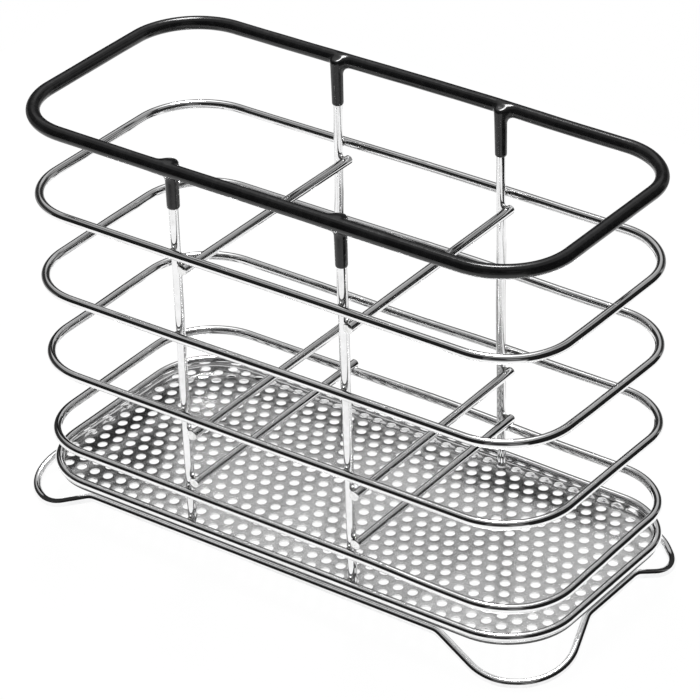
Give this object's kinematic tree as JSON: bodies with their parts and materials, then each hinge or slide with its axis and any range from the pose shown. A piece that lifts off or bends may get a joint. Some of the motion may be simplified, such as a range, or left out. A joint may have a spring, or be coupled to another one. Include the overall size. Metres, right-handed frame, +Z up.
{
  "type": "cutlery holder",
  "caption": "Open wire cutlery holder: rounded wire hoops, a vinyl-dipped rim, cross-wire dividers, a perforated floor sheet and a foot wire with a loop at each corner.",
  "frame": {"origin": "on the table, under the middle of the footprint of the whole holder", "axes": "+Z up, +X along the long sides, the front at -Y"},
  "size_m": [0.2144, 0.1018, 0.1464],
  "materials": {
    "bright_wire": "polished",
    "black_vinyl": "satin",
    "sheet_steel": "satin"
  },
  "bodies": {
    "root": {"rim_coating": "black_vinyl", "rim_wire": "bright_wire", "side_ring_1": "bright_wire", "side_ring_2": "bright_wire", "side_ring_3": "bright_wire", "side_ring_4": "bright_wire", "tray_ring": "bright_wire", "foot_wire": "bright_wire", "base_plate": "sheet_steel", "upright_front_left": "bright_wire", "upright_front_right": "bright_wire", "upright_back_left": "bright_wire", "upright_back_right": "bright_wire", "divider_left_top": "bright_wire", "divider_left_middle": "bright_wire", "divider_left_bottom": "bright_wire", "divider_right_top": "bright_wire", "divider_right_middle": "bright_wire", "divider_right_bottom": "bright_wire"}
  },
  "joints": []
}
